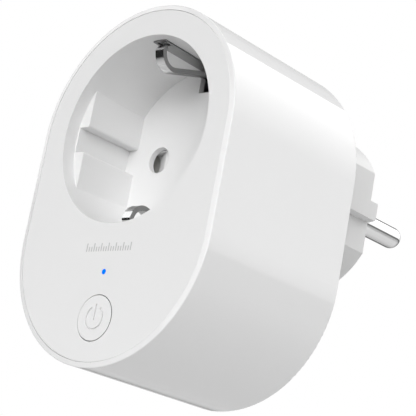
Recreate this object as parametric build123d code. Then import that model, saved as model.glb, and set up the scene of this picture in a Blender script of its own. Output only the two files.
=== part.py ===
from build123d import *
import os
from math import cos, radians, sin

# Smart plug: a plug-through mains adapter with an earthed 16 A socket in its front face, a child
# shutter, a relay and its electronics inside, and a plug with two pins at its back.
# Millimetres. Origin: centre of the plug's engagement face, half way between the two pins.
# +X is to the right seen from the front, +Y goes into the wall outlet, +Z is up.

# ---- housing ----
FRONT_Y = -57.0
BACK_Y = -18.6
BODY_R = 25.8
BODY_STRAIGHT = 22.0
BODY_CENTRE_Z = -11.0
SHELL_WALL = 2.0
BACK_WALL = 2.0
SNAP_PLACES = [(side, z) for side in (-1, 1) for z in (-5.0, -18.0)]
SNAP_HALF_WIDTH = 3.0
SNAP_Y = (-50.6, -49.4)
SNAP_ARM_X = (22.4, 23.6)
SNAP_TIP_X = 24.2
SNAP_PLAY = 0.2
LABEL_SIZE = (22, 11)
LABEL_CORNER_R = 1.0
LABEL_THICK = 0.1
LABEL_Z = -33.0
RIM_WIDTH = 1.02
RIM_LAND = 0.05
RIM_DROP = 0.16
PANEL_GAP = 0.03
PANEL_THICK = 2.0
PANEL_EDGE_R = 0.2
FRONT_EDGE_R = 0.25
BACK_EDGE_R = 0.3

# ---- socket recess, to the 16 A earthed socket's sizes ----
RECESS_R = 19.5
RECESS_DEPTH = 17.5
RECESS_DRAFT = 0.3
CUP_WALL = 1.5
FLOOR_THICK = 1.3
PIN_PITCH = 19.0
CONTACT_HOLE_R = 2.83
RIB_X = 16.4
GROOVE_X = 19.0
GROOVE_HALF = 2.7
RIB_START = 3.0
RIB_EDGE_R = 0.45
RIB_SINK = 0.4
CUP_START = 0.5

# ---- plug ----
PLUG_R = 18.24
PLUG_FLAT_X = 15.9
PLUG_RIDGE_X = 17.95
PLUG_RIDGE_TIP_HALF = 1.89
PLUG_RIDGE_BASE_HALF = 2.15
PLUG_EDGE_R = 0.15
PLUG_WALL = 2.3
PLUG_FACE_WALL = 3.0
PLUG_FIT = 0.15
FLANGE_THICK = 1.5
FLANGE_R = 22.6
PIN_R = 2.4
PIN_LENGTH = 19.0
PIN_TIP_R = 2.1
PIN_ROOT_R = 2.1
PIN_RELIEF_DEPTH = 0.5
PIN_RELIEF_GAP = 0.06
PIN_BOSS_R = 4.5
PIN_ROOT_END_Y = -12.5
PIN_COLLAR_R = 3.0
PIN_COLLAR_END_Y = -14.5
EARTH_HOLE_R = 2.6
EARTH_HOLE_DEPTH = 14.0
EARTH_HOLE_Z = 10.0
EARTH_HOLE_WALL = 1.1
EARTH_POST_R = 1.2
EARTH_LEG_Z = (16.2, 16.8)
EARTH_LEG_HALF_WIDTH = 2.4
EARTH_LEG_Y = (-18.4, -1.0)
EARTH_BRIDGE_THICK = 0.6
EARTH_GROOVE_HALF_WIDTH = 2.9
EARTH_GROOVE_TOP = 19.0
EARTH_SLOT_HALF_WIDTH = 2.6
EARTH_SLOT_Z = 15.0
EARTH_SLOT_Y = (-18.6, -17.6)

# ---- earth clips in the socket ----
CLIP_THICK = 1.0
CLIP_HALF_WIDTH = 1.1
CLIP_ROOT = (-38.3, 18.25)
CLIP_NOSE_CORNER = (-52.7, 13.83)
CLIP_CURL_CORNER = (-53.75, 17.75)
CLIP_TIP = (-53.1, 18.5)
CLIP_BENDS = (3.0, 0.75)
CLIP_WINDOW = (-54.35, -52.35)
CLIP_WINDOW_HALF_WIDTH = 1.2
CLIP_POCKET_Z = 14.05
CLIP_POCKET_HALF_WIDTH = 1.8
CLIP_SLIT_HALF_WIDTH = 4.9
CLIP_SLIT_FLARE = (17.6, 18.35)
PLATE_Z = 19.1
PLATE_THICK = 0.4
PLATE_HALF_WIDTH = 1.7
PLATE_SLOPE = 0.3
PLATE_START = 2.4
PLATE_GAP = 0.06
PLATE_PLAY = 0.1
PLATE_FOOT_HALF_WIDTH = 4.6
PLATE_ROOT = 0.4
STRAP_HALF_WIDTH = 1.9
STRAP_THICK = 0.5
STRAP_Y = -34.2
LINK_THICK = 0.6

# ---- button, light and control board ----
BUTTON_Z = -38.2
BUTTON_R = 4.45
BUTTON_LENGTH = 4.8
BUTTON_GAP = 0.15
BUTTON_PROUD = 0.12
BUTTON_SLEEVE = 1.3
BUTTON_FLANGE = (0.9, 0.7)
BUTTON_NUB_R = 1.2
BUTTON_NUB_LENGTH = 0.1
BUTTON_EDGE_R = 0.1
SYMBOL_DEPTH = 0.35
SYMBOL_R = 2.2
SYMBOL_LINE = 0.36
SYMBOL_BAR = (-0.5, 2.75)
SYMBOL_GAP_ANGLE = 28
LIGHT_Z = -29.15
LIGHT_R = 0.55
LIGHT_FOOT_R = 1.45
LIGHT_SLEEVE = (1.5, 2.3, 1.6)
LED_SIZE = (1.6, 0.8, 1.0)
LED_GAP = 0.1
CONTROL_BOARD_Y = -48.6
CONTROL_BOARD_THICK = 1.0
CONTROL_BOARD_HALF_WIDTH = 15.0
CONTROL_BOARD_Z = (-46.0, -26.0)
CONTROL_POST_R = 1.8
SWITCH_HALF = 3.0
SWITCH_HEIGHT = 3.0
SWITCH_WELL_R = 1.85
PLUNGER_R = 1.75
PLUNGER_FOOT = 1.7
SWITCH_WELL_FLOOR = 1.2
RADIO_BOARD_X = (-7.5, 7.5)
RADIO_BOARD_Z = (-43.5, -34.5)
RADIO_BOARD_THICK = 0.8
RADIO_SHIELD_X = (-7.0, 3.0)
RADIO_SHIELD_Z = (-43.0, -35.0)
RADIO_SHIELD_HEIGHT = 2.2
RADIO_SHIELD_WALL = 0.2

# ---- shutter ----
SHUTTER_FRONT_Y = -38.05
SHUTTER_BACK_Y = -35.4
SHUTTER_HALF_HEIGHT = 4.4
SHUTTER_TRAVEL = 5.7
SHUTTER_LEFT_X = -19.6
SHUTTER_RIGHT_X = 13.4
SHUTTER_WINDOW_R = 2.9
SHUTTER_RAMP_DEPTH = 1.9
SHUTTER_RAMP_START = 0.35
SHUTTER_RAMP_END = 2.7
SHUTTER_RAMP_HALF_HEIGHT = 2.4
SPRING_WIRE_R = 0.15
SPRING_COIL_R = 0.95
SPRING_TURNS = 7
SPRING_WALL = 1.0

# ---- contact carrier and socket contacts ----
CARRIER_X = (-20.6, 22.6)
CARRIER_PLATE = 1.0
CARRIER_HALF_HEIGHT = 5.8
CARRIER_LUG = (9.0, 11.5)
SHUTTER_TRACK_PLAY = 0.3
TOWER_X = (4.0, 14.2)
TOWER_WALL = 1.0
TOWER_HALF_HEIGHT = 5.5
TOWER_BACK_Y = -23.0
TOWER_NOTCH_X = (12.4, 13.4)
TOWER_NOTCH_Y = -30.3
CONTACT_X = (7.3, 13.2)
CONTACT_Y = (-33.8, -24.5)
CONTACT_HALF_HEIGHT = 3.0
CONTACT_THICK = 0.5
CONTACT_TAIL_Y = (-30.0, -27.0)
CONTACT_TAIL_Z = (-17.5, -15.5)
BUSBAR_START = (-14.8, 2.0)
BUSBAR_TURN_Z = -9.6
BUSBAR_END_Z = -18.0
BUSBAR_THICK = 0.6
BUSBAR_HALF_WIDTH = 1.8
BUSBAR_BEND = 0.8

# ---- main board, and the places in X and Z of what stands on it ----
MAIN_BOARD_Y = -24.0
MAIN_BOARD_THICK = 1.6
MAIN_BOARD_TOP_Z = -13.5
BOARD_OUTLINE_R = 23.2
MAIN_POST_R = 2.3
RELAY_X = (-20.6, -0.6)
RELAY_Z = (-31.6, -21.4)
RELAY_HEIGHT = 15.7
RELAY_WALL = 0.8
RELAY_FLOOR = 1.5
COIL_X = -13.5
COIL_FLANGE_R = 3.7
COIL_R = 3.3
COIL_Y = (-35.4, -27.0)
COIL_FLANGE = 0.5
CORE_R = 1.5
POLE_R = 2.6
POLE_Y = (-36.0, -35.4)
YOKE_HALF_HEIGHT = 3.0
YOKE_X = (-18.8, -9.9)
YOKE_Y = (-36.3, -25.7)
YOKE_THICK = 1.0
ARMATURE_X = (-18.7, -8.05)
ARMATURE_Y = (-37.3, -36.5)
HINGE_BEAD = (-18.3, -36.6)
HINGE_BEAD_R = 0.25
LEAF_THICK = 0.25
LEAF_HALF_HEIGHT = 2.0
LEAF_END_Y = -27.4
CONTACT_BUTTON_R = 1.2
CONTACT_BUTTON_Y = -29.0
FIXED_CONTACT_X = (-9.5, -9.1)
FIXED_CONTACT_Y = -31.0
BULK_CAN_R = 4.0
BULK_CAN_HEIGHT = 14.0
BULK_CAN_PLACE = (5.0, -26.0)
BULK_CAN_EDGE_R = 0.5
BULK_BEAD_Y = (-26.6, -26.0)
BULK_BEAD_DEPTH = 0.25
FILTER_X = (10.6, 20.4)
FILTER_Z = (-27.2, -21.6)
FILTER_HEIGHT = 11.0
VARISTOR_R = 4.4
VARISTOR_X = 15.5
VARISTOR_HEIGHT = 5.6
VARISTOR_Z = (-31.3, -28.3)
LEAD_R = 0.35
LEAD_SPREAD = 2.5
FUSE_X = (-13.5, -4.5)
FUSE_Z = -35.6
FUSE_HEIGHT = 2.2
FUSE_R = 1.7
FUSE_CAP_R = 1.9
FUSE_CAP_LENGTH = 2.5
CORE_X = (-3.5, 7.5)
CORE_Z = (-42.0, -36.0)
CORE_Y = (-34.0, -25.0)
CORE_WINDOW_X = (-1.3, 5.3)
CORE_WINDOW_Y = (-32.2, -26.8)
CORE_LEG_X = (0.6, 3.4)
WINDING_X = (-1.1, 5.1)
WINDING_Z = (-43.6, -34.4)
WINDING_Y = (-32.0, -27.0)
WINDING_FOOT = 1.5
DRUM_PLACE = (12.0, -35.3)
DRUM_R = 2.8
DRUM_WAIST_R = 2.4
DRUM_HEIGHT = 8.0
DRUM_FLANGE = 1.0
RECTIFIER_X = (-11.0, -6.0)
RECTIFIER_Z = (-41.5, -37.7)
RECTIFIER_HEIGHT = 2.4
SHUNT_X = (-5.0, -2.0)
SHUNT_Z = (-19.6, -15.6)
SHUNT_HEIGHT = 3.0
SHUNT_THICK = 0.6
LINK_PIN_HALF = 0.32
LINK_BLOCK_HALF = 1.1
LINK_BLOCK_LENGTH = 2.5

# ---- screws: head radius, shank radius and head height, and the posts they go into ----
FLANGE_SCREW = (1.7, 0.95, 1.1)
CARRIER_SCREW = (1.7, 0.9, 1.1)
MAIN_SCREW = (1.9, 0.95, 1.2)
CONTROL_SCREW = (1.6, 0.8, 1.0)
SCREW_SLOT_HALF = 0.2
SCREW_CLEARANCE_R = 1.1
FLANGE_SCREW_R = 20.4
CARRIER_POST_R = 2.0

# ---- places that follow from the sizes above ----
RECESS_FLOOR_Y = FRONT_Y + RECESS_DEPTH
CUP_BACK_Y = RECESS_FLOOR_Y + FLOOR_THICK
CUP_R = RECESS_R + CUP_WALL
PIN_X = PIN_PITCH / 2
RIB_END_Z = (RECESS_R**2 - RIB_X**2) ** 0.5
PANEL_BACK_Y = FRONT_Y + PANEL_THICK
BACK_INNER_Y = BACK_Y - BACK_WALL
SHELL_INNER_R = BODY_R - SHELL_WALL
CARRIER_FRONT_Y = SHUTTER_BACK_Y + 0.2
BUTTON_BACK_Y = FRONT_Y + BUTTON_LENGTH
FLANGE_FRONT_Y = BACK_INNER_Y - FLANGE_THICK
RELAY_MID_Z = sum(RELAY_Z) / 2
CONTROL_BOARD_BACK_Y = CONTROL_BOARD_Y + CONTROL_BOARD_THICK
RADIO_BOARD_BACK_Y = CONTROL_BOARD_BACK_Y + RADIO_BOARD_THICK
SPRING_WALL_X = CARRIER_X[1] - SPRING_WALL

CONTROL_POSTS = [(-11.0, -31.5), (11.0, -31.5)]
MAIN_POSTS = [(-17.5, -34.0), (17.5, -34.0)]
CARRIER_POSTS = [(x, z) for x in (-6.0, 6.0) for z in (-9.0, 9.0)]
FLANGE_SCREWS = [(FLANGE_SCREW_R * cos(radians(a)), FLANGE_SCREW_R * sin(radians(a)))
                 for a in (45, 135, 200, 340)]
LINK_PINS_X = [1.5 + 2.0 * i for i in range(4)]
LINK_PINS_Z = -32.0


# ---- helpers: every solid is an outline pushed along one axis ----
def along_y(outline, y0, y1):
    """Outline drawn in X and Z, pushed from y0 to y1."""
    return extrude(Plane.XZ.offset(-y1) * outline, amount=y1 - y0, dir=(0, -1, 0))


def along_x(outline, x0, x1):
    """Outline drawn in Y and Z, pushed from x0 to x1."""
    return extrude(Plane.YZ.offset(x0) * outline, amount=x1 - x0, dir=(1, 0, 0))


def along_z(outline, z0, z1):
    """Outline drawn in X and Y, pushed from z0 to z1."""
    return extrude(Plane.XY.offset(z0) * outline, amount=z1 - z0, dir=(0, 0, 1))


def block(x0, x1, y0, y1, z0, z1):
    centre = Pos((x0 + x1) / 2, (y0 + y1) / 2, (z0 + z1) / 2)
    return centre * Box(x1 - x0, y1 - y0, z1 - z0)


def rod(radius, y0, y1, x=0.0, z=0.0):
    """Round bar along Y."""
    return along_y(Pos(x, z) * Circle(radius), y0, y1)


def mirrored(side, near, far):
    """A range of distances from the middle plane, on its plus or its minus side, lowest first."""
    return sorted((side * near, side * far))


def rods(radius, y0, y1, places):
    """The same bar at several places, as separate solids."""
    return [rod(radius, y0, y1, x, z) for x, z in places]


def stadium(radius):
    """The housing's outline, or one inside it at the same centre."""
    slot = SlotCenterToCenter(BODY_STRAIGHT, 2 * radius, rotation=90)
    return Pos(0, BODY_CENTRE_Z) * slot


def bent_strip(points, thickness, bend, x0, x1):
    """Sheet metal strip: a centre line in Y and Z with round bends, pushed along X."""
    line = FilletPolyline(*points, radius=bend)
    return along_x(trace(line, line_width=thickness), x0, x1)


def screws(places, seat_y, shank_y, size):
    """Pan-head screws whose heads sit on seat_y and whose shanks run on to shank_y."""
    head_r, shank_r, head_height = size
    side = 1 if shank_y > seat_y else -1
    made = []
    for x, z in places:
        head = rod(head_r, *sorted((seat_y - side * head_height, seat_y)), x, z)
        shank = rod(shank_r, *sorted((seat_y, shank_y)), x, z)
        slot = block(x - head_r, x + head_r, *sorted((seat_y - side * head_height,
                     seat_y - side * head_height * 0.5)), z - SCREW_SLOT_HALF, z + SCREW_SLOT_HALF)
        made.append(head + shank - slot)
    return Compound(children=made)


def edges_at_y(solid, y):
    return solid.edges().filter_by(lambda e: abs(e.bounding_box().min.Y - y) < 1e-4
                                   and abs(e.bounding_box().max.Y - y) < 1e-4)


# ---- housing shell and front panel ----
def plug_outline(grow=0.0):
    """The plug body's outline: a circle cut by two flats, with a guide ridge on each flat."""
    reach = PLUG_FLAT_X + grow
    body = Circle(PLUG_R + grow) & Rectangle(2 * reach, 2 * (PLUG_R + grow))
    ridge_x = PLUG_RIDGE_X + grow
    tip = PLUG_RIDGE_TIP_HALF + grow
    base = PLUG_RIDGE_BASE_HALF + grow
    return body + Polygon((-ridge_x, -tip), (-reach, -base), (reach, -base), (ridge_x, -tip),
                          (ridge_x, tip), (reach, base), (-reach, base), (-ridge_x, tip), align=None)


def housing_shell():
    shell = along_y(stadium(BODY_R), FRONT_Y, BACK_Y)
    front = shell.faces().sort_by(Axis.Y)[0]
    shell = chamfer(edges_at_y(shell, FRONT_Y), RIM_WIDTH - RIM_LAND, RIM_DROP, reference=front)
    shell = fillet(edges_at_y(shell, FRONT_Y + RIM_DROP), FRONT_EDGE_R)
    shell = fillet(edges_at_y(shell, BACK_Y), BACK_EDGE_R)
    shell -= along_y(stadium(BODY_R - RIM_WIDTH), FRONT_Y, PANEL_BACK_Y)
    shell -= along_y(stadium(SHELL_INNER_R), PANEL_BACK_Y, BACK_INNER_Y)
    shell -= along_y(plug_outline(PLUG_FIT), BACK_INNER_Y, BACK_Y)
    for x, z in MAIN_POSTS:
        shell += rod(MAIN_POST_R, MAIN_BOARD_Y + MAIN_BOARD_THICK, BACK_INNER_Y, x, z)
    shell -= rods(MAIN_SCREW[1], MAIN_BOARD_Y, BACK_Y - 0.8, MAIN_POSTS)
    shell -= rods(FLANGE_SCREW[1], BACK_INNER_Y - 1, BACK_Y - 0.5, FLANGE_SCREWS)
    half = SNAP_HALF_WIDTH + SNAP_PLAY
    for side, z in SNAP_PLACES:
        shell -= block(*mirrored(side, SHELL_INNER_R - 0.5, SNAP_TIP_X + SNAP_PLAY),
                       SNAP_Y[0] - SNAP_PLAY, SNAP_Y[1] + SNAP_PLAY, z - half, z + half)
    return shell


def front_panel():
    panel = along_y(stadium(BODY_R - RIM_WIDTH - PANEL_GAP), FRONT_Y, PANEL_BACK_Y)
    panel += rod(CUP_R, FRONT_Y + CUP_START, CUP_BACK_Y)
    panel -= recess()
    panel = fillet(edges_at_y(panel, FRONT_Y).sort_by(SortBy.LENGTH)[:1], PANEL_EDGE_R)
    panel += recess_ribs()
    for side in (-1, 1):
        panel -= rod(CONTACT_HOLE_R, RECESS_FLOOR_Y, CUP_BACK_Y, side * PIN_X)
    for up in (1, -1):
        panel -= clip_openings(up)
    panel += rod(BUTTON_R + BUTTON_SLEEVE, PANEL_BACK_Y, BUTTON_BACK_Y - 0.8, 0, BUTTON_Z)
    panel -= rod(BUTTON_R + BUTTON_GAP, FRONT_Y, BUTTON_BACK_Y, 0, BUTTON_Z)
    inner_r, outer_r, length = LIGHT_SLEEVE
    panel += rod(outer_r, PANEL_BACK_Y, PANEL_BACK_Y + length, 0, LIGHT_Z)
    panel -= rod(inner_r, PANEL_BACK_Y, PANEL_BACK_Y + length, 0, LIGHT_Z)
    panel -= rod(LIGHT_R, FRONT_Y, PANEL_BACK_Y, 0, LIGHT_Z)
    for x, z in CONTROL_POSTS:
        panel += rod(CONTROL_POST_R, PANEL_BACK_Y, CONTROL_BOARD_Y, x, z)
    panel -= rods(CONTROL_SCREW[1], CONTROL_BOARD_Y - 4.5, CONTROL_BOARD_Y, CONTROL_POSTS)
    for x, z in CARRIER_POSTS:
        panel += rod(CARRIER_POST_R, CUP_BACK_Y, CARRIER_FRONT_Y, x, z)
    panel -= rods(CARRIER_SCREW[1], CUP_BACK_Y + 0.2, CARRIER_FRONT_Y, CARRIER_POSTS)
    for side, z in SNAP_PLACES:
        z0, z1 = z - SNAP_HALF_WIDTH, z + SNAP_HALF_WIDTH
        panel += block(*mirrored(side, *SNAP_ARM_X), PANEL_BACK_Y, SNAP_Y[1], z0, z1)
        panel += block(*mirrored(side, SNAP_ARM_X[1], SNAP_TIP_X), *SNAP_Y, z0, z1)
    return panel


def recess():
    """The socket recess, a little narrower at its floor than at its mouth."""
    profile = Polygon((0, FRONT_Y), (RECESS_R, FRONT_Y), (RECESS_R - RECESS_DRAFT, RECESS_FLOOR_Y),
                      (0, RECESS_FLOOR_Y), align=None)
    return revolve(profile, Axis.Y)


def recess_ribs():
    """Two guide ribs on each side of the recess, with a groove between them."""
    y0 = FRONT_Y + RIB_START
    y1 = RECESS_FLOOR_Y + 0.3
    sunk_r = RECESS_R + RIB_SINK
    ring = rod(sunk_r, y0, y1)
    ribs = Part()
    for side in (-1, 1):
        for up in (-1, 1):
            rib = block(*mirrored(side, RIB_X, sunk_r), y0, y1, *mirrored(up, GROOVE_HALF, RIB_END_Z)) & ring
            corner = rib.edges().filter_by(Axis.Y).sort_by(
                lambda e: abs(abs(e.center().X) - RIB_X) + abs(abs(e.center().Z) - GROOVE_HALF))[:1]
            ribs += fillet(corner, RIB_EDGE_R)
        ribs += block(*mirrored(side, GROOVE_X, sunk_r), y0, y1, -GROOVE_HALF, GROOVE_HALF) & ring
    return ribs


def clip_openings(up):
    """Room for one earth clip: a floor pocket that flares into a slit, a bed for the earth plate
    in the recess wall, and a window for the clip's tip."""
    top = PLATE_Z + PLATE_THICK + PLATE_PLAY
    flare_start, flare_end = CLIP_SLIT_FLARE
    side = [(CLIP_POCKET_HALF_WIDTH, CLIP_POCKET_Z), (CLIP_POCKET_HALF_WIDTH, flare_start),
            (CLIP_SLIT_HALF_WIDTH, flare_end), (CLIP_SLIT_HALF_WIDTH, top)]
    outline = side + [(-x, z) for x, z in reversed(side)]
    pocket = Polygon(*[(x, up * z) for x, z in outline], align=None)
    half = PLATE_HALF_WIDTH + PLATE_GAP
    bed = block(-half, half, FRONT_Y + PLATE_START - PLATE_GAP, RECESS_FLOOR_Y,
                *mirrored(up, PLATE_Z - 0.5, top))
    window = block(-CLIP_WINDOW_HALF_WIDTH, CLIP_WINDOW_HALF_WIDTH, *CLIP_WINDOW,
                   *mirrored(up, PLATE_Z, CUP_R + 0.3))
    return [along_y(pocket, RECESS_FLOOR_Y, CUP_BACK_Y), bed, window]


def rating_label():
    """Blank sticker on the back of the housing."""
    sticker = Pos(0, LABEL_Z) * RectangleRounded(*LABEL_SIZE, LABEL_CORNER_R)
    return along_y(sticker, BACK_Y, BACK_Y + LABEL_THICK)


# ---- plug ----
def plug_base():
    body = along_y(plug_outline(), FLANGE_FRONT_Y, 0)
    body = fillet(edges_at_y(body, 0), PLUG_EDGE_R)
    body += rod(FLANGE_R, FLANGE_FRONT_Y, BACK_INNER_Y)
    hollow = Circle(PLUG_R - PLUG_WALL - 0.4) & Rectangle(2 * (PLUG_FLAT_X - PLUG_WALL), 2 * PLUG_R)
    body -= along_y(hollow, FLANGE_FRONT_Y, -PLUG_FACE_WALL)
    for side in (-1, 1):
        body += rod(PIN_BOSS_R, PIN_ROOT_END_Y, -PLUG_FACE_WALL, side * PIN_X)
        body -= rod(PIN_ROOT_R, PIN_ROOT_END_Y, 0, side * PIN_X)
        body -= rod(PIN_R + PIN_RELIEF_GAP, -PIN_RELIEF_DEPTH, 0, side * PIN_X)
    well_end = -EARTH_HOLE_DEPTH - EARTH_POST_R
    body += rod(EARTH_HOLE_R + EARTH_HOLE_WALL, well_end, -PLUG_FACE_WALL, 0, EARTH_HOLE_Z)
    body -= rod(EARTH_HOLE_R, -EARTH_HOLE_DEPTH, 0, 0, EARTH_HOLE_Z)
    body -= rod(EARTH_POST_R + 0.1, well_end, -EARTH_HOLE_DEPTH, 0, EARTH_HOLE_Z)
    for up in (-1, 1):
        body -= block(-EARTH_GROOVE_HALF_WIDTH, EARTH_GROOVE_HALF_WIDTH, BACK_INNER_Y, 0,
                      *mirrored(up, EARTH_LEG_Z[0], EARTH_GROOVE_TOP))
        body -= block(-EARTH_SLOT_HALF_WIDTH, EARTH_SLOT_HALF_WIDTH, *EARTH_SLOT_Y,
                      *mirrored(up, EARTH_SLOT_Z, EARTH_LEG_Z[0] + 0.1))
    return body - rods(SCREW_CLEARANCE_R, FLANGE_FRONT_Y, BACK_INNER_Y, FLANGE_SCREWS)


def plug_pin(x):
    pin = fillet(edges_at_y(rod(PIN_R, 0, PIN_LENGTH, x), PIN_LENGTH), PIN_TIP_R)
    pin += rod(PIN_ROOT_R, PIN_ROOT_END_Y, 0, x)
    return pin + rod(PIN_COLLAR_R, PIN_COLLAR_END_Y, PIN_ROOT_END_Y, x)


def plug_earth_bracket():
    """One bent strip: an earth contact in each groove of the plug, joined inside it."""
    half = EARTH_LEG_HALF_WIDTH
    start = EARTH_LEG_Y[0]
    reach = EARTH_LEG_Z[1]
    legs = [block(-half, half, *EARTH_LEG_Y, *mirrored(up, *EARTH_LEG_Z)) for up in (-1, 1)]
    bridge = block(-half, half, start, start + EARTH_BRIDGE_THICK, -reach, reach)
    post = rod(EARTH_POST_R, start + EARTH_BRIDGE_THICK, -EARTH_HOLE_DEPTH, 0, EARTH_HOLE_Z)
    return bridge + legs + post


def busbar(x):
    """Flat bar from a plug pin's root to the front of the main board."""
    start_y, start_z = BUSBAR_START
    end_y = MAIN_BOARD_Y - BUSBAR_THICK / 2
    route = [(start_y, start_z), (start_y, BUSBAR_TURN_Z), (end_y, BUSBAR_TURN_Z), (end_y, BUSBAR_END_Z)]
    return bent_strip(route, BUSBAR_THICK, BUSBAR_BEND, x - BUSBAR_HALF_WIDTH, x + BUSBAR_HALF_WIDTH)


# ---- socket contacts, carrier and shutter ----
def socket_contact(side):
    """Two jaws that grip a pin, open towards the socket's centre, with a tail to the board."""
    inner_x, outer_x = CONTACT_X
    wall_x = outer_x - CONTACT_THICK
    jaw = CONTACT_HALF_HEIGHT - CONTACT_THICK
    grip = block(*mirrored(side, inner_x, outer_x), *CONTACT_Y, -CONTACT_HALF_HEIGHT, CONTACT_HALF_HEIGHT)
    grip -= block(*mirrored(side, inner_x, wall_x), *CONTACT_Y, -jaw, jaw)
    tail_x = mirrored(side, wall_x, outer_x)
    grip += block(*tail_x, *CONTACT_TAIL_Y, CONTACT_TAIL_Z[0], -CONTACT_HALF_HEIGHT)
    return grip + block(*tail_x, CONTACT_TAIL_Y[1], MAIN_BOARD_Y, *CONTACT_TAIL_Z)


def contact_carrier():
    """Moulding behind the recess floor: the shutter's track and a tower round each contact."""
    back = CARRIER_FRONT_Y + CARRIER_PLATE
    lug_x, lug_z = CARRIER_LUG
    inner = TOWER_HALF_HEIGHT - TOWER_WALL
    carrier = block(*CARRIER_X, CARRIER_FRONT_Y, back, -CARRIER_HALF_HEIGHT, CARRIER_HALF_HEIGHT)
    carrier += block(-lug_x, lug_x, CARRIER_FRONT_Y, back, -lug_z, lug_z)
    for up in (-1, 1):
        carrier += block(*CARRIER_X, CUP_BACK_Y, CARRIER_FRONT_Y,
                         *mirrored(up, SHUTTER_HALF_HEIGHT + SHUTTER_TRACK_PLAY, CARRIER_HALF_HEIGHT))
    carrier += block(SPRING_WALL_X, CARRIER_X[1], CUP_BACK_Y, CARRIER_FRONT_Y,
                     -CARRIER_HALF_HEIGHT, CARRIER_HALF_HEIGHT)
    for side in (-1, 1):
        tower = block(*mirrored(side, *TOWER_X), back, TOWER_BACK_Y, -TOWER_HALF_HEIGHT, TOWER_HALF_HEIGHT)
        tower -= block(*mirrored(side, TOWER_X[0] + TOWER_WALL, TOWER_X[1] - TOWER_WALL),
                       back, TOWER_BACK_Y, -inner, inner)
        tower -= block(*mirrored(side, *TOWER_NOTCH_X), TOWER_NOTCH_Y, TOWER_BACK_Y,
                       -TOWER_HALF_HEIGHT, -inner)
        carrier += tower
        carrier -= rod(CONTACT_HOLE_R, CARRIER_FRONT_Y, back, side * PIN_X)
    return carrier - rods(SCREW_CLEARANCE_R, CARRIER_FRONT_Y, back, CARRIER_POSTS)


def safety_shutter():
    """Slide that blocks both contact holes. A pin on each ramp pushes it aside to its windows."""
    slide = block(SHUTTER_LEFT_X, SHUTTER_RIGHT_X, SHUTTER_FRONT_Y, SHUTTER_BACK_Y,
                  -SHUTTER_HALF_HEIGHT, SHUTTER_HALF_HEIGHT)
    ramp_floor = SHUTTER_FRONT_Y + SHUTTER_RAMP_DEPTH
    for x in (-PIN_X, PIN_X):
        window_x = x - SHUTTER_TRAVEL
        slide -= rod(SHUTTER_WINDOW_R, SHUTTER_FRONT_Y, SHUTTER_BACK_Y, window_x)
        ramp = Polygon((x + SHUTTER_RAMP_START, SHUTTER_FRONT_Y), (window_x, SHUTTER_FRONT_Y),
                       (window_x, ramp_floor), (window_x + SHUTTER_RAMP_END, ramp_floor), align=None)
        slide -= along_z(ramp, -SHUTTER_RAMP_HALF_HEIGHT, SHUTTER_RAMP_HALF_HEIGHT)
    return slide


def shutter_spring():
    """Compression spring between the slide's end and the carrier's end wall."""
    length = SPRING_WALL_X - SHUTTER_RIGHT_X - 2 * SPRING_WIRE_R
    coil = Helix(length / SPRING_TURNS, length, SPRING_COIL_R)
    wire = sweep((coil ^ 0) * Circle(SPRING_WIRE_R), path=coil)
    middle_y = (SHUTTER_FRONT_Y + SHUTTER_BACK_Y) / 2
    return Pos(SHUTTER_RIGHT_X + SPRING_WIRE_R, middle_y, 0) * Rot(0, 90, 0) * wire


# ---- socket earth parts ----
def earth_bracket():
    """One bent strip: a plate on the recess wall at the top and bottom, and a strap behind."""
    reach = PLATE_Z - PLATE_SLOPE
    strap_back = STRAP_Y + STRAP_THICK
    parts = block(-STRAP_HALF_WIDTH, STRAP_HALF_WIDTH, STRAP_Y, strap_back, -reach, reach)
    plate_y = FRONT_Y + PLATE_START
    root_y = RECESS_FLOOR_Y + PLATE_ROOT
    for up in (-1, 1):
        side = Polygon((plate_y, up * PLATE_Z), (root_y, up * reach),
                       (root_y, up * (reach + PLATE_THICK)),
                       (plate_y, up * (PLATE_Z + PLATE_THICK)), align=None)
        plate = along_x(side, -PLATE_HALF_WIDTH, PLATE_HALF_WIDTH)
        plate -= block(-CLIP_WINDOW_HALF_WIDTH, CLIP_WINDOW_HALF_WIDTH, *CLIP_WINDOW,
                       *mirrored(up, PLATE_Z - 1, PLATE_Z + 1))
        parts += plate
        parts += block(-PLATE_FOOT_HALF_WIDTH, PLATE_FOOT_HALF_WIDTH, root_y, strap_back,
                       *mirrored(up, reach, reach + PLATE_THICK))
    return parts


def earth_clip(up):
    """Springy tongue that a plug's side contact presses outwards."""
    bends = (CLIP_ROOT, CLIP_NOSE_CORNER, CLIP_CURL_CORNER, CLIP_TIP)
    root, nose, curl, tip = [(y, up * z) for y, z in bends]
    line = FilletPolyline(root, nose, curl, tip, radius=CLIP_BENDS)
    tongue = trace(line, line_width=CLIP_THICK) + Pos(*root) * Circle(CLIP_THICK / 2)
    return along_x(tongue, -CLIP_HALF_WIDTH, CLIP_HALF_WIDTH)


def earth_link():
    """Strip that joins the socket's earth strap to the plug's earth bracket."""
    return block(-STRAP_HALF_WIDTH, STRAP_HALF_WIDTH, STRAP_Y + STRAP_THICK, EARTH_LEG_Y[0],
                 0, LINK_THICK)


# ---- button, light and control board ----
def power_button():
    front = FRONT_Y - BUTTON_PROUD
    cap = rod(BUTTON_R, front, BUTTON_BACK_Y, 0, BUTTON_Z)
    cap = fillet(edges_at_y(cap, front), BUTTON_EDGE_R)
    flange_width, flange_thick = BUTTON_FLANGE
    cap += rod(BUTTON_R + flange_width, BUTTON_BACK_Y - flange_thick, BUTTON_BACK_Y, 0, BUTTON_Z)
    cap += rod(BUTTON_NUB_R, BUTTON_BACK_Y, BUTTON_BACK_Y + BUTTON_NUB_LENGTH, 0, BUTTON_Z)
    return cap - along_y(Pos(0, BUTTON_Z) * standby_symbol(), front, front + SYMBOL_DEPTH)


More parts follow.
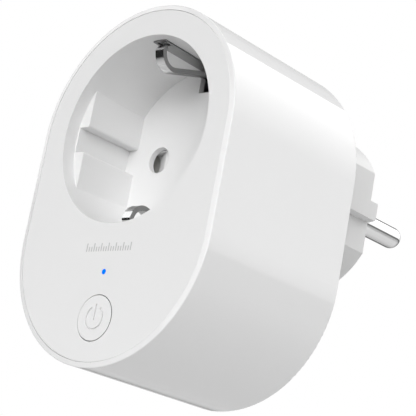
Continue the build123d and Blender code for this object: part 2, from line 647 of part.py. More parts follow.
def standby_symbol():
    """Ring with a gap at its top, and an upright bar in the gap."""
    ring = Circle(SYMBOL_R + SYMBOL_LINE / 2) - Circle(SYMBOL_R - SYMBOL_LINE / 2)
    far = 2 * SYMBOL_R
    gap_x = far * sin(radians(SYMBOL_GAP_ANGLE))
    gap_z = far * cos(radians(SYMBOL_GAP_ANGLE))
    ring -= Polygon((0, 0), (gap_x, gap_z), (0, 2 * far), (-gap_x, gap_z), align=None)
    foot, head = SYMBOL_BAR
    return ring + Pos(0, (foot + head) / 2) * SlotOverall(head - foot, SYMBOL_LINE, rotation=90)


def light_pipe():
    nose = rod(LIGHT_R, FRONT_Y, PANEL_BACK_Y, 0, LIGHT_Z)
    foot_y = CONTROL_BOARD_Y - LED_SIZE[1] - LED_GAP
    return nose + rod(LIGHT_FOOT_R, PANEL_BACK_Y, foot_y, 0, LIGHT_Z)


def status_light():
    width, depth, height = LED_SIZE
    return block(-width / 2, width / 2, CONTROL_BOARD_Y - depth, CONTROL_BOARD_Y,
                 LIGHT_Z - height / 2, LIGHT_Z + height / 2)


def control_board():
    board = along_y(stadium(BOARD_OUTLINE_R), CONTROL_BOARD_Y, CONTROL_BOARD_BACK_Y)
    board &= block(-CONTROL_BOARD_HALF_WIDTH, CONTROL_BOARD_HALF_WIDTH,
                   CONTROL_BOARD_Y, CONTROL_BOARD_BACK_Y, *CONTROL_BOARD_Z)
    return board - rods(CONTROL_SCREW[1] + 0.15, CONTROL_BOARD_Y, CONTROL_BOARD_BACK_Y, CONTROL_POSTS)


def switch_body():
    top = CONTROL_BOARD_Y - SWITCH_HEIGHT
    body = block(-SWITCH_HALF, SWITCH_HALF, top, CONTROL_BOARD_Y, BUTTON_Z - SWITCH_HALF,
                 BUTTON_Z + SWITCH_HALF)
    return body - rod(SWITCH_WELL_R, top, CONTROL_BOARD_Y - SWITCH_WELL_FLOOR, 0, BUTTON_Z)


def switch_plunger():
    return rod(PLUNGER_R, BUTTON_BACK_Y + BUTTON_NUB_LENGTH, CONTROL_BOARD_Y - PLUNGER_FOOT, 0, BUTTON_Z)


def radio_board():
    return block(*RADIO_BOARD_X, CONTROL_BOARD_BACK_Y, RADIO_BOARD_BACK_Y, *RADIO_BOARD_Z)


def radio_shield():
    top = RADIO_BOARD_BACK_Y + RADIO_SHIELD_HEIGHT
    wall = RADIO_SHIELD_WALL
    can = block(*RADIO_SHIELD_X, RADIO_BOARD_BACK_Y, top, *RADIO_SHIELD_Z)
    can = fillet(can.edges().filter_by(Axis.Y), 2 * wall)
    return can - block(RADIO_SHIELD_X[0] + wall, RADIO_SHIELD_X[1] - wall, RADIO_BOARD_BACK_Y, top - wall,
                       RADIO_SHIELD_Z[0] + wall, RADIO_SHIELD_Z[1] - wall)


def link_pins():
    half = LINK_PIN_HALF
    return [block(x - half, x + half, CONTROL_BOARD_BACK_Y, MAIN_BOARD_Y,
                  LINK_PINS_Z - half, LINK_PINS_Z + half) for x in LINK_PINS_X]


def link_blocks():
    """A plastic strip at each end of the pins between the two boards."""
    half = LINK_BLOCK_HALF
    ends = [(CONTROL_BOARD_BACK_Y, CONTROL_BOARD_BACK_Y + LINK_BLOCK_LENGTH),
            (MAIN_BOARD_Y - LINK_BLOCK_LENGTH, MAIN_BOARD_Y)]
    return Compound(children=[block(LINK_PINS_X[0] - half, LINK_PINS_X[-1] + half, y0, y1,
                                    LINK_PINS_Z - half, LINK_PINS_Z + half) - link_pins()
                              for y0, y1 in ends])


# ---- main board and what stands on it ----
def main_board():
    y1 = MAIN_BOARD_Y + MAIN_BOARD_THICK
    board = along_y(stadium(BOARD_OUTLINE_R), MAIN_BOARD_Y, y1)
    board &= block(-BODY_R, BODY_R, MAIN_BOARD_Y, y1, CONTROL_BOARD_Z[0], MAIN_BOARD_TOP_Z)
    return board - rods(SCREW_CLEARANCE_R, MAIN_BOARD_Y, y1, MAIN_POSTS)


def on_board(x_range, z_range, height, inset=0.0):
    """Block standing on the front of the main board."""
    return block(x_range[0] + inset, x_range[1] - inset, MAIN_BOARD_Y - height, MAIN_BOARD_Y,
                 z_range[0] + inset, z_range[1] - inset)


def relay_base():
    return on_board(RELAY_X, RELAY_Z, RELAY_FLOOR, RELAY_WALL)


def relay_case():
    case = on_board(RELAY_X, RELAY_Z, RELAY_HEIGHT)
    case = fillet(case.edges().filter_by(Axis.Y), RELAY_WALL * 0.75)
    return case - on_board(RELAY_X, RELAY_Z, RELAY_HEIGHT - RELAY_WALL, RELAY_WALL)


def relay_rod(radius, y0, y1):
    """Round bar on the relay coil's axis."""
    return rod(radius, y0, y1, COIL_X, RELAY_MID_Z)


def relay_coil():
    y0, y1 = COIL_Y
    bobbin = relay_rod(COIL_FLANGE_R, y0, y0 + COIL_FLANGE) + relay_rod(COIL_FLANGE_R, y1 - COIL_FLANGE, y1)
    bobbin += relay_rod(COIL_R, y0 + COIL_FLANGE, y1 - COIL_FLANGE)
    return bobbin - relay_rod(CORE_R, y0, y1)


def relay_yoke():
    """Iron core with its pole, and the bent yoke that carries the flux back to the armature."""
    z0, z1 = RELAY_MID_Z - YOKE_HALF_HEIGHT, RELAY_MID_Z + YOKE_HALF_HEIGHT
    x0, x1 = YOKE_X
    y0, y1 = YOKE_Y
    iron = block(x0, x1, y1 - YOKE_THICK, y1, z0, z1) + block(x0, x0 + YOKE_THICK, y0, y1, z0, z1)
    iron += relay_rod(CORE_R, POLE_Y[0], y1 - 0.3)
    return iron + relay_rod(POLE_R, *POLE_Y)


def relay_armature():
    """Iron plate with a bead along one edge, on which it rocks."""
    z0, z1 = RELAY_MID_Z - YOKE_HALF_HEIGHT, RELAY_MID_Z + YOKE_HALF_HEIGHT
    plate = block(*ARMATURE_X, *ARMATURE_Y, z0, z1)
    return plate + along_z(Pos(*HINGE_BEAD) * Circle(HINGE_BEAD_R), z0, z1)


def moving_contact():
    """Leaf hanging from the armature, with its contact button."""
    x1 = ARMATURE_X[1]
    x0 = x1 - LEAF_THICK
    leaf = block(x0, x1, ARMATURE_Y[1], LEAF_END_Y, RELAY_MID_Z - LEAF_HALF_HEIGHT,
                 RELAY_MID_Z + LEAF_HALF_HEIGHT)
    return leaf + along_x(Pos(CONTACT_BUTTON_Y, RELAY_MID_Z) * Circle(CONTACT_BUTTON_R),
                          x0 - LEAF_THICK, x0)


def fixed_contact():
    return block(*FIXED_CONTACT_X, FIXED_CONTACT_Y, MAIN_BOARD_Y - RELAY_FLOOR,
                 RELAY_MID_Z - LEAF_HALF_HEIGHT, RELAY_MID_Z + LEAF_HALF_HEIGHT)


def bulk_capacitor():
    top = MAIN_BOARD_Y - BULK_CAN_HEIGHT
    can = rod(BULK_CAN_R, top, MAIN_BOARD_Y, *BULK_CAN_PLACE)
    can = fillet(edges_at_y(can, top), BULK_CAN_EDGE_R)
    bead = rod(BULK_CAN_R + 0.2, *BULK_BEAD_Y, *BULK_CAN_PLACE)
    return can - (bead - rod(BULK_CAN_R - BULK_BEAD_DEPTH, *BULK_BEAD_Y, *BULK_CAN_PLACE))


def filter_capacitor():
    box = on_board(FILTER_X, FILTER_Z, FILTER_HEIGHT)
    return fillet(box.edges().filter_by(Axis.Y), 0.4)


def varistor():
    mid_y = MAIN_BOARD_Y - VARISTOR_HEIGHT
    mid_z = sum(VARISTOR_Z) / 2
    disc = along_z(Pos(VARISTOR_X, mid_y) * Circle(VARISTOR_R), *VARISTOR_Z)
    disc = fillet(disc.edges(), 1.0)
    leads = [(VARISTOR_X - LEAD_SPREAD, mid_z), (VARISTOR_X + LEAD_SPREAD, mid_z)]
    return disc + rods(LEAD_R, mid_y + 2.6, MAIN_BOARD_Y, leads)


def fuse():
    place = Pos(MAIN_BOARD_Y - FUSE_HEIGHT, FUSE_Z)
    x0, x1 = FUSE_X
    tube = along_x(place * Circle(FUSE_R), x0, x1)
    for start in (x0 - 0.5, x1 + 0.5 - FUSE_CAP_LENGTH):
        tube += along_x(place * Circle(FUSE_CAP_R), start, start + FUSE_CAP_LENGTH)
    leads = [(x0 + 0.8, FUSE_Z), (x1 - 0.8, FUSE_Z)]
    return tube + rods(LEAD_R, MAIN_BOARD_Y - FUSE_HEIGHT, MAIN_BOARD_Y, leads)


def transformer_core():
    core = block(*CORE_X, *CORE_Y, *CORE_Z) - block(*CORE_WINDOW_X, *CORE_WINDOW_Y, *CORE_Z)
    return core + block(*CORE_LEG_X, *CORE_WINDOW_Y, *CORE_Z)


def transformer_winding():
    z0, z1 = WINDING_Z
    winding = block(*WINDING_X, *WINDING_Y, z0, z1)
    winding = fillet(winding.edges().filter_by(Axis.Y), 1.0)
    winding -= block(*CORE_LEG_X, *CORE_WINDOW_Y, *CORE_Z)
    feet = [block(*WINDING_X, WINDING_Y[1], MAIN_BOARD_Y, a, b)
            for a, b in ((z0, z0 + WINDING_FOOT), (z1 - WINDING_FOOT, z1))]
    return winding + feet


def inductor():
    top = MAIN_BOARD_Y - DRUM_HEIGHT
    waist = (top + DRUM_FLANGE, MAIN_BOARD_Y - DRUM_FLANGE)
    drum = rod(DRUM_R, top, waist[0], *DRUM_PLACE) + rod(DRUM_R, waist[1], MAIN_BOARD_Y, *DRUM_PLACE)
    return drum + rod(DRUM_WAIST_R, *waist, *DRUM_PLACE)


def rectifier():
    body = on_board(RECTIFIER_X, RECTIFIER_Z, RECTIFIER_HEIGHT)
    return chamfer(edges_at_y(body, MAIN_BOARD_Y - RECTIFIER_HEIGHT), 0.3)


def current_shunt():
    """Bridge of resistance metal that the load current is measured across."""
    top = MAIN_BOARD_Y - SHUNT_HEIGHT
    z0, z1 = SHUNT_Z
    route = [(MAIN_BOARD_Y, z0), (top, z0), (top, z1), (MAIN_BOARD_Y, z1)]
    return bent_strip(route, SHUNT_THICK, 0.8, *SHUNT_X)


PARTS = {
    "housing_shell": housing_shell(),
    "front_panel": front_panel(),
    "rating_label": rating_label(),
    "plug_base": plug_base(),
    "plug_pin_left": plug_pin(-PIN_X),
    "plug_pin_right": plug_pin(PIN_X),
    "plug_earth_bracket": plug_earth_bracket(),
    "live_busbar": busbar(-PIN_X),
    "neutral_busbar": busbar(PIN_X),
    "socket_contact_left": socket_contact(-1),
    "socket_contact_right": socket_contact(1),
    "contact_carrier": contact_carrier(),
    "safety_shutter": safety_shutter(),
    "shutter_spring": shutter_spring(),
    "earth_bracket": earth_bracket(),
    "earth_clip_upper": earth_clip(1),
    "earth_clip_lower": earth_clip(-1),
    "earth_link": earth_link(),
    "power_button": power_button(),
    "light_pipe": light_pipe(),
    "status_light": status_light(),
    "control_board": control_board(),
    "switch_body": switch_body(),
    "switch_plunger": switch_plunger(),
    "radio_board": radio_board(),
    "radio_shield": radio_shield(),
    "link_pins": Compound(children=link_pins()),
    "link_blocks": link_blocks(),
    "main_board": main_board(),
    "relay_base": relay_base(),
    "relay_case": relay_case(),
    "relay_coil": relay_coil(),
    "relay_yoke": relay_yoke(),
    "relay_armature": relay_armature(),
    "relay_moving_contact": moving_contact(),
    "relay_fixed_contact": fixed_contact(),
    "bulk_capacitor": bulk_capacitor(),
    "filter_capacitor": filter_capacitor(),
    "varistor": varistor(),
    "fuse": fuse(),
    "transformer_core": transformer_core(),
    "transformer_winding": transformer_winding(),
    "inductor": inductor(),
    "rectifier": rectifier(),
    "current_shunt": current_shunt(),
    "plug_base_screws": screws(FLANGE_SCREWS, FLANGE_FRONT_Y, BACK_Y - 0.6, FLANGE_SCREW),
    "carrier_screws": screws(CARRIER_POSTS, CARRIER_FRONT_Y + CARRIER_PLATE, CUP_BACK_Y + 0.3,
                             CARRIER_SCREW),
    "main_board_screws": screws(MAIN_POSTS, MAIN_BOARD_Y, BACK_Y - 0.9, MAIN_SCREW),
    "control_board_screws": screws(CONTROL_POSTS, CONTROL_BOARD_BACK_Y, CONTROL_BOARD_Y - 4.3,
                                   CONTROL_SCREW),
}

os.makedirs("parts", exist_ok=True)
for name, shape in PARTS.items():
    export_step(shape, f"parts/{name}.step")
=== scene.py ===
import math

import bmesh
import bpy
from mathutils import Matrix, Vector


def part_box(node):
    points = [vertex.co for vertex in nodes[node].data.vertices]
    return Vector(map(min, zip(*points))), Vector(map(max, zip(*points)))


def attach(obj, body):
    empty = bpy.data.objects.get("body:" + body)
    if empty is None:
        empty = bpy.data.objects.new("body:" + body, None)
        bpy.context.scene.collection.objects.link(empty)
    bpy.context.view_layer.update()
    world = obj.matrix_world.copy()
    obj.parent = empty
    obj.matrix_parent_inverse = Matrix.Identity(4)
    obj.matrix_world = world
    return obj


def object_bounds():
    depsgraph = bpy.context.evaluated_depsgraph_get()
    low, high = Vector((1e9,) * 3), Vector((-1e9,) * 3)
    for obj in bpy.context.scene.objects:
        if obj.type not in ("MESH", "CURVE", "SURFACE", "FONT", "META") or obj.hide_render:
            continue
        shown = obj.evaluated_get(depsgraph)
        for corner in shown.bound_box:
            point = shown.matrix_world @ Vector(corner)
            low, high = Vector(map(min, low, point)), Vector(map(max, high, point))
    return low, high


MM = 0.001

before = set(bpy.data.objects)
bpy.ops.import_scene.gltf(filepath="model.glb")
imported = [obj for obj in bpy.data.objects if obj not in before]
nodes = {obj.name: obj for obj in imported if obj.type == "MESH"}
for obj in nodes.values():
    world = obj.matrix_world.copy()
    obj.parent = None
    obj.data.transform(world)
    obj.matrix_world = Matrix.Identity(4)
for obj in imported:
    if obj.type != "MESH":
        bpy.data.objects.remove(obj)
cad_low, cad_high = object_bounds()

# ---- places on the object, worked out from the frame ----
PANEL_LOW, PANEL_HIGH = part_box("front_panel")
FRONT_Y = PANEL_LOW.y
PANEL_R = PANEL_HIGH.x
PANEL_Z = (PANEL_LOW.z + PANEL_HIGH.z) / 2
PANEL_STRAIGHT = PANEL_HIGH.z - PANEL_LOW.z - 2 * PANEL_R
LIGHT_LOW, LIGHT_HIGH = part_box("light_pipe")
LIGHT_Z = (LIGHT_LOW.z + LIGHT_HIGH.z) / 2
BUTTON_LOW, BUTTON_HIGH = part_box("power_button")
BUTTON_Z = (BUTTON_LOW.z + BUTTON_HIGH.z) / 2
BUTTON_FLANGE = 0.9 * MM
BUTTON_R = BUTTON_HIGH.x - BUTTON_FLANGE


# ---- shader helpers ----
class Tree:
    """A node tree, with short calls for the nodes used here."""

    def __init__(self, tree):
        self.tree = tree

    def add(self, kind, **inputs):
        node = self.tree.nodes.new(kind)
        for key, value in inputs.items():
            self.put(node.inputs[key.replace("_", " ")], value)
        return node

    def put(self, socket, value):
        """A constant goes onto the socket, and another node's output is linked to it."""
        if isinstance(value, bpy.types.NodeSocket):
            self.tree.links.new(value, socket)
        else:
            socket.default_value = value

    def math(self, operation, a, b=0.0):
        node = self.tree.nodes.new("ShaderNodeMath")
        node.operation = operation
        self.put(node.inputs[0], a)
        self.put(node.inputs[1], b)
        return node.outputs[0]

    def span(self, value, low, high, out_low, out_high):
        node = self.tree.nodes.new("ShaderNodeMapRange")
        for index, number in enumerate((value, low, high, out_low, out_high)):
            self.put(node.inputs[index], number)
        return node.outputs[0]

    def window(self, value, low, high, soft):
        """One between low and high and zero outside, with edges soft wide."""
        rise = self.span(value, low - soft / 2, low + soft / 2, 0.0, 1.0)
        fall = self.span(value, high - soft / 2, high + soft / 2, 1.0, 0.0)
        return self.math("MULTIPLY", rise, fall)


class Nodes(Tree):
    """A material with its shader, in the object's own coordinates."""

    def __init__(self, name):
        self.material = bpy.data.materials.new(name)
        self.material.use_nodes = True
        super().__init__(self.material.node_tree)
        self.shader = self.tree.nodes["Principled BSDF"]
        self.place = self.add("ShaderNodeTexCoord").outputs["Object"]

    def noise(self, size, detail=2.0, stretch=(1.0, 1.0, 1.0)):
        """Noise whose grains are about size metres across."""
        scaled = self.add("ShaderNodeMapping", Vector=self.place, Scale=stretch)
        node = self.add("ShaderNodeTexNoise", Vector=scaled.outputs[0], Scale=1.0 / size, Detail=detail)
        return node.outputs["Fac"]

    def blend(self, share, first, second):
        node = self.tree.nodes.new("ShaderNodeMix")
        node.data_type = "RGBA"
        self.put(node.inputs["Factor"], share)
        self.put(node.inputs["A"], first)
        self.put(node.inputs["B"], second)
        return node.outputs["Result"]

    def radius_from(self, z, straight=0.0):
        """Distance in the front plane from the point 0, z, or from an upright line centred on it."""
        split = self.add("ShaderNodeSeparateXYZ", Vector=self.place)
        off_z = self.math("ABSOLUTE", self.math("SUBTRACT", split.outputs["Z"], z))
        off_z = self.math("MAXIMUM", self.math("SUBTRACT", off_z, straight / 2), 0.0)
        squares = [self.math("POWER", off, 2.0) for off in (split.outputs["X"], off_z)]
        return self.math("SQRT", self.math("ADD", *squares))

    def distance(self):
        """Distance from the object's own origin."""
        node = self.tree.nodes.new("ShaderNodeVectorMath")
        node.operation = "LENGTH"
        self.put(node.inputs[0], self.place)
        return node.outputs["Value"]

    def facing(self, axis):
        """How far the surface faces along one axis, whichever way."""
        normal = self.add("ShaderNodeNewGeometry").outputs["Normal"]
        return self.math("ABSOLUTE", self.add("ShaderNodeSeparateXYZ", Vector=normal).outputs[axis])

    def bump(self, height, depth):
        node = self.add("ShaderNodeBump", Height=height, Distance=depth, Strength=1.0)
        self.put(self.shader.inputs["Normal"], node.outputs[0])

    def set(self, **inputs):
        for key, value in inputs.items():
            self.put(self.shader.inputs[key.replace("_", " ")], value)


def rgb(red, green, blue):
    return (red, green, blue, 1.0)


def grey(level):
    return rgb(level, level, level)


def shade(colour, factor):
    """The colour made lighter or darker."""
    return tuple(min(1.0, c * factor) for c in colour[:3]) + (1.0,)


# ---- materials ----
METAL_GRAIN = 0.15 * MM
METAL_LINE_DEPTH = 0.0005 * MM
SATIN_GRAIN = 0.09 * MM
SATIN_DEPTH = 0.0012 * MM
# How bright pin and earth clip reflections stay at low angles: a painted dark rim on the reflection,
# standing in for dark surroundings.
PIN_PAINTED_RIM_REFLECTION = 0.25
CLIP_PAINTED_RIM_REFLECTION = 0.45
WIRE_PITCH = 0.9 * MM
TRACK_SCALE = 260.0
TRACK_WIDTH = 0.03
ALONG_Y = (1.0, 0.08, 1.0)
ALONG_Z = (1.0, 1.0, 0.08)


def plastic(name, colour, rough, grain, depth, coat=0.0, vary=0.01):
    """Moulded plastic: a spark-eroded grain, faint flow variation and a slightly uneven gloss."""
    m = Nodes(name)
    flow = m.noise(12 * MM, 3.0)
    fine = m.noise(grain, 4.0)
    m.set(Base_Color=m.blend(flow, shade(colour, 1 - vary), shade(colour, 1 + vary)))
    m.set(Roughness=m.span(fine, 0.3, 0.7, rough * 0.92, rough * 1.08))
    m.set(Coat_Weight=coat, Coat_Roughness=0.05)
    m.bump(fine, depth)
    return m.material


def metal(name, colour, rough, lines=(1.0, 1.0, 1.0), vary=0.05, edge=1.0):
    """Plated or rolled metal with fine lines along one direction.

    edge is how bright its reflection stays where it is seen at a low angle; below one it is a painted
    darkening of the rim, standing in for dark surroundings reflected there."""
    m = Nodes(name)
    fine = m.noise(METAL_GRAIN, 3.0, lines)
    cloud = m.noise(3 * MM, 2.0)
    m.set(Base_Color=m.blend(cloud, shade(colour, 1 - vary), shade(colour, 1 + vary)))
    # A specular tint below white paints a dark rim into the reflection, standing in for dark surroundings.
    m.set(Metallic=1.0, Specular_Tint=grey(edge))
    m.set(Roughness=m.span(fine, 0.3, 0.7, rough * 0.8, rough * 1.2))
    m.bump(fine, METAL_LINE_DEPTH)
    return m.material


def housing_gloss():
    """Smooth white gloss shell: softly uneven, the way a polished tool leaves it."""
    m = Nodes("housing_gloss")
    peel = m.noise(2.4 * MM, 2.0)
    flow = m.noise(20 * MM, 2.0)
    m.set(Base_Color=m.blend(flow, grey(0.862), grey(0.874)))
    m.set(Roughness=m.span(peel, 0.3, 0.7, 0.50, 0.60), Specular_IOR_Level=0.0)
    m.set(Coat_Weight=1.0, Coat_Roughness=0.02)
    m.bump(peel, 0.0006 * MM)
    return m.material


def gap_shaded_satin(name, white, z, radius, straight, dark):
    """Satin white plastic, with painted shade down its outer walls, where a narrow gap keeps the light out.
    """
    m = Nodes(name)
    flow = m.noise(12 * MM, 3.0)
    fine = m.noise(SATIN_GRAIN, 4.0)
    wall = m.math("LESS_THAN", m.facing("Y"), 0.3)
    outer = m.math("GREATER_THAN", m.radius_from(z, straight), radius - 0.1 * MM)
    face = m.blend(flow, grey(white - 0.003), grey(white + 0.003))
    # Painted shade: the outer side walls take the dark colour, standing in for the shade in the gap.
    m.set(Base_Color=m.blend(m.math("MULTIPLY", wall, outer), face, grey(dark)))
    m.set(Roughness=m.span(fine, 0.3, 0.7, 0.39, 0.45))
    m.bump(fine, SATIN_DEPTH)
    return m.material


def stamped_metal():
    """Nickel-plated spring strip: bright faces, and dull sheared edges where the press cut it."""
    m = Nodes("stamped_metal")
    lines = m.noise(0.12 * MM, 3.0, (1.0, 0.1, 1.0))
    edge = m.span(m.facing("X"), 0.85, 0.95, 0.0, 1.0)
    m.set(Base_Color=m.blend(edge, grey(0.78), grey(0.43)))
    gloss = m.span(lines, 0.3, 0.7, 0.10, 0.16)
    m.set(Roughness=m.math("ADD", gloss, m.math("MULTIPLY", edge, 0.45)))
    # The specular tint paints a dark rim into the reflection, standing in for dark surroundings.
    m.set(Metallic=1.0, Specular_Tint=grey(CLIP_PAINTED_RIM_REFLECTION))
    m.bump(lines, 0.0005 * MM)
    return m.material


def light_lens():
    """Clear pin carrying the blue light, brightest along its middle."""
    m = Nodes("light_lens")
    core = m.span(m.radius_from(LIGHT_Z), 0.0, 0.6 * MM, 0.0, 1.0)
    m.set(Base_Color=rgb(0.0, 0.01, 0.04), Roughness=0.5, Specular_IOR_Level=0.0)
    m.set(Emission_Color=m.blend(core, rgb(0.0, 0.21, 1.0), rgb(0.0, 0.19, 0.97)))
    m.set(Emission_Strength=1.0)
    return m.material


def ink():
    """Pale grey marking ink, slightly thin in places."""
    m = Nodes("mark_ink")
    thin = m.noise(0.3 * MM, 3.0)
    m.set(Base_Color=m.blend(thin, grey(0.50), grey(0.58)))
    m.set(Roughness=m.span(thin, 0.3, 0.7, 0.5, 0.6))
    return m.material


def wound_wire():
    """Enamelled copper wire laid in close turns along the bobbin."""
    m = Nodes("wound_wire")
    turns = m.add("ShaderNodeTexWave", Vector=m.place, Scale=1.0 / WIRE_PITCH, Distortion=0.1)
    turns.bands_direction = "Y"
    # The colour is darker in the grooves between turns, where the bump sinks: painted shade between the
    # wires.
    m.set(Base_Color=m.blend(turns.outputs["Fac"], rgb(0.42, 0.16, 0.07), rgb(0.78, 0.36, 0.18)))
    m.set(Metallic=0.8, Roughness=m.span(turns.outputs["Fac"], 0.0, 1.0, 0.45, 0.28))
    m.set(Coat_Weight=0.5, Coat_Roughness=0.1)
    m.bump(turns.outputs["Fac"], 0.05 * MM)
    return m.material


def circuit_board(name, mask, copper):
    """Solder mask over copper tracks, which show as slightly paler, raised paths."""
    m = Nodes(name)
    tracks = m.add("ShaderNodeTexBrick", Vector=m.place, Scale=TRACK_SCALE, Mortar_Size=TRACK_WIDTH)
    weave = m.noise(0.4 * MM, 3.0)
    base = m.blend(weave, shade(mask, 0.85), shade(mask, 1.15))
    m.set(Base_Color=m.blend(tracks.outputs["Fac"], base, copper))
    m.set(Roughness=m.span(weave, 0.3, 0.7, 0.28, 0.38))
    m.bump(tracks.outputs["Fac"], 0.02 * MM)
    return m.material


def fuse_glass():
    """Clear glass tube, slightly uneven."""
    m = Nodes("fuse_glass")
    ripple = m.noise(1.2 * MM, 2.0)
    m.set(Base_Color=m.blend(ripple, rgb(0.80, 0.86, 0.83), rgb(0.88, 0.92, 0.90)))
    m.set(Roughness=m.span(ripple, 0.3, 0.7, 0.04, 0.08), IOR=1.5, Transmission_Weight=0.7)
    m.bump(ripple, 0.004 * MM)
    return m.material


def make_materials():
    """One material for each slot in the record, and one for the dull earth plate."""
    return {
        "housing": housing_gloss(),
        "panel": gap_shaded_satin("panel_satin", 0.83, PANEL_Z, PANEL_R, PANEL_STRAIGHT, 0.05),
        "label": plastic("label_film", rgb(0.66, 0.67, 0.69), 0.38, 0.2 * MM, 0.001 * MM),
        "plug_body": plastic("plug_plastic", rgb(0.74, 0.74, 0.738), 0.40, 0.12 * MM, 0.0015 * MM),
        "pin_metal": metal("pin_nickel", grey(0.98), 0.08, ALONG_Y, vary=0.02, edge=PIN_PAINTED_RIM_REFLECTION),
        "earth_metal": stamped_metal(),
        "earth_plate": metal("dull_plate", grey(0.31), 0.40, ALONG_Y),
        "busbar_metal": metal("busbar_metal", rgb(0.76, 0.56, 0.24), 0.26, ALONG_Z),
        "contact_brass": metal("contact_brass", rgb(0.72, 0.52, 0.20), 0.24, ALONG_Z),
        "carrier": plastic("carrier_plastic", rgb(0.70, 0.70, 0.67), 0.45, 0.15 * MM, 0.002 * MM),
        "shutter": plastic("shutter_plastic", grey(0.78), 0.40, 0.12 * MM, 0.001 * MM),
        "spring_steel": metal("spring_steel", grey(0.60), 0.20),
        "button": gap_shaded_satin("button_satin", 0.84, BUTTON_Z, BUTTON_R, 0.0, 0.20),
        "light_lens": light_lens(),
        "led_chip": plastic("led_chip", rgb(0.85, 0.80, 0.45), 0.25, 0.1 * MM, 0.001 * MM, coat=0.5),
        "board": circuit_board("main_board", rgb(0.02, 0.16, 0.06), rgb(0.05, 0.30, 0.12)),
        "radio_board": circuit_board("radio_board", rgb(0.01, 0.03, 0.14), rgb(0.03, 0.08, 0.26)),
        "black_plastic": plastic("black_plastic", rgb(0.015, 0.015, 0.016), 0.45, 0.1 * MM, 0.002 * MM,
                                 vary=0.1),
        "plunger": plastic("plunger_plastic", grey(0.03), 0.5, 0.1 * MM, 0.002 * MM, vary=0.1),
        "shield_metal": metal("shield_metal", rgb(0.68, 0.68, 0.67), 0.30, ALONG_Z),
        "header_metal": metal("header_metal", rgb(0.83, 0.62, 0.26), 0.22, ALONG_Y),
        "relay_plastic": plastic("relay_plastic", rgb(0.02, 0.022, 0.026), 0.42, 0.12 * MM, 0.003 * MM,
                                 vary=0.1),
        "relay_iron": metal("relay_iron", rgb(0.45, 0.45, 0.44), 0.36),
        "copper_winding": wound_wire(),
        "capacitor_sleeve": plastic("capacitor_sleeve", rgb(0.012, 0.016, 0.07), 0.25, 0.3 * MM, 0.002 * MM,
                                    vary=0.1),
        "filter_box": plastic("filter_box", rgb(0.70, 0.46, 0.03), 0.32, 0.2 * MM, 0.003 * MM,
                              vary=0.03),
        "varistor_coat": plastic("varistor_coat", rgb(0.02, 0.07, 0.32), 0.28, 0.8 * MM, 0.02 * MM,
                                 vary=0.06),
        "fuse_body": fuse_glass(),
        "ferrite": plastic("ferrite", grey(0.03), 0.55, 0.15 * MM, 0.006 * MM, vary=0.12),
        "winding_tape": plastic("winding_tape", rgb(0.70, 0.50, 0.05), 0.30, 0.4 * MM, 0.002 * MM,
                                vary=0.03),
        "shunt_metal": metal("shunt_metal", rgb(0.45, 0.38, 0.33), 0.32),
        "screw_steel": metal("screw_steel", rgb(0.60, 0.60, 0.59), 0.28),
    }


def dress_nodes(materials):
    """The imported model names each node's material after its slot in the record."""
    for node in nodes.values():
        for place in node.material_slots:
            place.material = materials[place.material.name]
    nodes["earth_bracket"].material_slots[0].material = materials["earth_plate"]


# ---- pieces that the CAD model doesn't hold ----
def new_piece(name, mesh_maker, material, body):
    """A mesh object filled in by mesh_maker, riding on a CAD body."""
    shape = bmesh.new()
    mesh_maker(shape)
    data = bpy.data.meshes.new(name)
    shape.to_mesh(data)
    shape.free()
    data.materials.append(material)
    piece = bpy.data.objects.new(name, data)
    bpy.context.scene.collection.objects.link(piece)
    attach(piece, body)
    return piece


def prism(shape, outline, front, depth):
    """A closed bar with its outline given in X and Z, its face at front and its back depth behind."""
    near = [shape.verts.new((x, front, z)) for x, z in outline]
    far = [shape.verts.new((x, front + depth, z)) for x, z in outline]
    shape.faces.new(near)
    shape.faces.new(list(reversed(far)))
    for i in range(len(outline)):
        j = (i + 1) % len(outline)
        shape.faces.new((near[j], near[i], far[i], far[j]))


def rounded_bar(x, z, width, height, steps=5):
    """Outline of an upright bar with round ends, centred on x and z."""
    radius = width / 2
    straight = height / 2 - radius
    top = [(x + radius * math.cos(a), z + straight + radius * math.sin(a))
           for a in [math.pi * i / steps for i in range(steps + 1)]]
    bottom = [(x - radius * math.cos(a), z - straight - radius * math.sin(a))
              for a in [math.pi * i / steps for i in range(steps + 1)]]
    return top + bottom


TICK_COUNT = 19
TICK_ROW_WIDTH = 12.0 * MM
TICK_ROW_ABOVE_LIGHT = 4.9 * MM
TICK_WIDTH = 0.26 * MM
TICK_TALL = 1.7 * MM
TICK_SHORT = 1.0 * MM
TICK_PROUD = 0.03 * MM


def tick_row(shape):
    """A plain scale of ticks across the panel above the light, every third one taller."""
    pitch = TICK_ROW_WIDTH / (TICK_COUNT - 1)
    foot = LIGHT_Z + TICK_ROW_ABOVE_LIGHT - TICK_TALL / 2
    for i in range(TICK_COUNT):
        height = TICK_TALL if i % 3 == 0 else TICK_SHORT
        x = (i - (TICK_COUNT - 1) / 2) * pitch
        outline = rounded_bar(x, foot + height / 2, TICK_WIDTH, height)
        prism(shape, outline, FRONT_Y - TICK_PROUD, 2 * TICK_PROUD)


# ---- camera: in front of the object on its right, looking up at it ----
CAMERA_AIM = Vector((-5.87, -7.37, 4.69)) * MM
CAMERA_AZIMUTH = 44.41
CAMERA_RISE = 14.78
CAMERA_ROLL = 10.56
CAMERA_DISTANCE = 315.8 * MM
CAMERA_LENS = 130.07
CAMERA_CLIP = 10 * MM


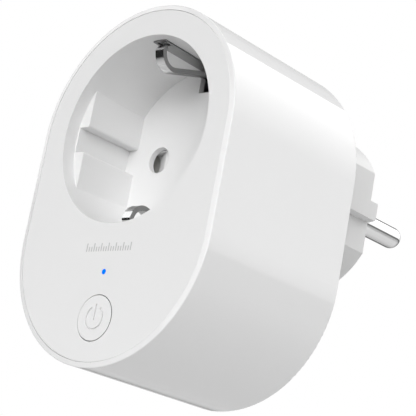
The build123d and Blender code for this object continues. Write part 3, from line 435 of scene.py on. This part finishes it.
def make_camera():
    aim = (cad_low + cad_high) / 2 + CAMERA_AIM
    azimuth = math.radians(CAMERA_AZIMUTH)
    rise = math.radians(CAMERA_RISE)
    roll = Matrix.Rotation(math.radians(CAMERA_ROLL), 3, "Z").to_quaternion()
    forward = Vector((-math.sin(azimuth) * math.cos(rise), math.cos(azimuth) * math.cos(rise),
                      math.sin(rise)))
    data = bpy.data.cameras.new("camera")
    data.lens = CAMERA_LENS
    data.clip_start = CAMERA_CLIP
    camera = bpy.data.objects.new("camera", data)
    camera.location = aim - forward * CAMERA_DISTANCE
    camera.rotation_mode = "QUATERNION"
    camera.rotation_quaternion = forward.to_track_quat("-Z", "Y") @ roll
    bpy.context.scene.collection.objects.link(camera)
    bpy.context.scene.camera = camera


# ---- floor and light ----
FLOOR_CENTRE = (0.0, 0.08, -0.13)
FLOOR_RADIUS = 3.0
FLOOR_FADE = (0.24, 0.62)
FLOOR_GREY = 0.74


def make_floor():
    """Plain pale floor that fades out away from the object."""
    shape = bmesh.new()
    bmesh.ops.create_circle(shape, cap_ends=True, segments=96, radius=FLOOR_RADIUS)
    data = bpy.data.meshes.new("floor")
    shape.to_mesh(data)
    shape.free()
    floor = bpy.data.objects.new("floor", data)
    floor.location = FLOOR_CENTRE
    m = Nodes("floor_paint")
    m.set(Base_Color=grey(FLOOR_GREY), Roughness=0.7, Specular_IOR_Level=0.0)
    m.set(Alpha=m.span(m.distance(), *FLOOR_FADE, 1.0, 0.0))
    data.materials.append(m.material)
    bpy.context.scene.collection.objects.link(floor)


# Each panel of studio light: azimuth from and to, elevation from and to, and its brightness along its
# bottom and its top edge. Azimuth is 0 behind the object, 90 on its right and -90 on its left.
REAR_RIGHT_BOX = (-13.3, 67.0, 3.0, 58.0, 0.85, 3.0)
FRONT_RIGHT_BOX = (120.0, 175.0, 0.0, 55.0, 5.5, 1.0)
FRONT_LEFT_BOX = (-180.0, -147.0, 0.0, 24.0, 1.3, 1.3)
FRONT_LEFT_STRIP = (-132.0, -105.0, 14.5, 45.0, 1.3, 1.3)
REAR_LOW = (-60.0, 68.0, -16.0, 2.0, 0.55, 0.0)
LEFT_WALL = (-90.0, -13.3, -2.0, 58.0, 0.75, 0.45)
CEILING = (-180.0, 180.0, 58.0, 90.0, 0.46, 0.46)
PANELS = (REAR_RIGHT_BOX, REAR_LOW, FRONT_RIGHT_BOX, FRONT_LEFT_BOX, FRONT_LEFT_STRIP, LEFT_WALL, CEILING)
PANEL_EDGE = 1.2
ROOM_DARK = 0.02
WHOLE_TURN = 360.0


def make_world():
    """A white studio of plain light panels, and plain white where the camera sees past the object."""
    world = bpy.data.worlds.new("studio")
    world.use_nodes = True
    world.node_tree.nodes.clear()
    t = Tree(world.node_tree)
    way = t.add("ShaderNodeSeparateXYZ", Vector=t.add("ShaderNodeTexCoord").outputs["Generated"]).outputs
    degrees = math.degrees(1.0)
    azimuth = t.math("MULTIPLY", t.math("ARCTAN2", way["X"], way["Y"]), degrees)
    elevation = t.math("MULTIPLY", t.math("ARCSINE", way["Z"]), degrees)
    glow = ROOM_DARK
    for az_from, az_to, el_from, el_to, bottom, top in PANELS:
        across = 1.0
        if az_to - az_from < WHOLE_TURN:
            across = t.window(azimuth, az_from, az_to, PANEL_EDGE)
        shape = t.math("MULTIPLY", across, t.window(elevation, el_from, el_to, PANEL_EDGE))
        level = t.span(elevation, el_from, el_to, bottom, top)
        glow = t.math("ADD", glow, t.math("MULTIPLY", shape, level))
    room = t.add("ShaderNodeBackground", Color=grey(1.0), Strength=glow)
    seen = t.add("ShaderNodeBackground", Color=grey(1.0), Strength=1.0)
    mix = t.add("ShaderNodeMixShader")
    t.put(mix.inputs[0], t.add("ShaderNodeLightPath").outputs["Is Camera Ray"])
    t.put(mix.inputs[1], room.outputs[0])
    t.put(mix.inputs[2], seen.outputs[0])
    out = t.add("ShaderNodeOutputWorld")
    t.put(out.inputs[0], mix.outputs[0])
    bpy.context.scene.world = world


def main():
    bpy.context.scene.view_settings.view_transform = "Standard"
    make_camera()
    make_world()
    make_floor()
    materials = make_materials()
    dress_nodes(materials)
    new_piece("scale_ticks", tick_row, ink(), "plug")


main()
